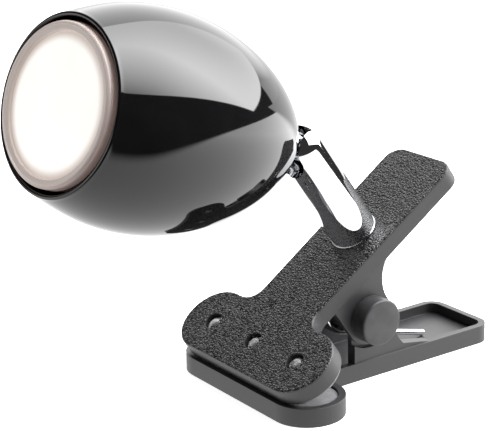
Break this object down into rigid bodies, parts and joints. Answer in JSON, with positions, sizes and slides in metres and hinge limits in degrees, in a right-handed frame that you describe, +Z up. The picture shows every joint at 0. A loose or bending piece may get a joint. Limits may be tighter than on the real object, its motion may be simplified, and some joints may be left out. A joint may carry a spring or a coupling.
{
  "type": "clip-on reading lamp",
  "caption": "Clip-on reading lamp: a sprung clamp with two T-shaped jaws, a slotted stem that swivels, and an egg-shaped tilting shade around a small reflector lamp.",
  "frame": {"origin": "on the flat underside of the lower jaw, straight below the clamp's pivot pin, in the lamp's middle plane", "axes": "+Z up, +X towards the clamp's handles, -X towards the jaw tips and the lamp's mouth, Y along the pivot pin"},
  "size_m": [0.1778, 0.08, 0.1394],
  "materials": {
    "clamp_plastic": "moulded black plastic, leather grain on top, fine grain on the sides",
    "cap_plastic": "satin dark grey plastic",
    "clear_silicone": "clear silicone",
    "spring_steel": "bright zinc-plated wire",
    "zinc_steel": "zinc-plated",
    "chrome": "mirror chrome plate",
    "bush_plastic": "natural nylon",
    "black_rubber": "soft black",
    "shade_gloss": "high-gloss piano black",
    "ceramic": "unglazed steatite",
    "contact_brass": "bright",
    "lead_sleeve": "white silicone insulation",
    "lamp_plastic": "translucent warm white",
    "lamp_white": "white",
    "lamp_diffuser": "frosted, lit",
    "board_aluminium": "white solder mask",
    "led_phosphor": "yellow phosphor",
    "circuit_green": "solder mask",
    "capacitor_can": "sleeved can"
  },
  "bodies": {
    "lower_jaw": {"lower_jaw": "clamp_plastic", "lower_pad": "clear_silicone", "pivot_pin": "zinc_steel", "pivot_caps": "cap_plastic", "spring_bush": "bush_plastic", "clamp_spring": "spring_steel"},
    "upper_jaw": {"upper_jaw": "clamp_plastic", "upper_pad": "clear_silicone", "clamp_spring_leg": "spring_steel"},
    "stem": {"stem": "chrome", "tilt_pin": "chrome", "stem_washer": "zinc_steel", "stem_nut": "zinc_steel", "cord_bush": "black_rubber"},
    "head": {"neck": "chrome", "shade": "shade_gloss", "neck_washer": "zinc_steel", "neck_nut": "zinc_steel", "holder_bracket": "zinc_steel", "holder_screws": "zinc_steel", "lampholder": "ceramic", "holder_contacts": "contact_brass", "holder_leads": "lead_sleeve", "lamp_base": "lamp_white", "lamp_pins": "contact_brass", "lamp_body": "lamp_plastic", "lamp_bezel": "lamp_plastic", "lamp_lens": "lamp_diffuser", "led_board": "board_aluminium", "led_chips": "led_phosphor", "driver_board": "circuit_green", "driver_capacitor": "capacitor_can"}
  },
  "joints": [
    {"name": "clamp_open", "type": "hinge", "parent": "lower_jaw", "child": "upper_jaw", "pos_m": [0, 0, 0.0216], "axis": [0, 1, 0], "range_deg": [0, 35], "stiffness_Nm_per_rad": 0.4, "springref_deg": -57.3},
    {"name": "stem_swivel", "type": "hinge", "parent": "upper_jaw", "child": "stem", "pos_m": [0.00516, 0, 0.04759], "axis": [-0.5606, 0, 0.8281], "range_deg": [-176.3, 153.7]},
    {"name": "head_tilt", "type": "hinge", "parent": "stem", "child": "head", "pos_m": [-0.01771, 0, 0.08138], "axis": [0.1623, -0.9806, 0.1099], "range_deg": [-28, 54]}
  ]
}
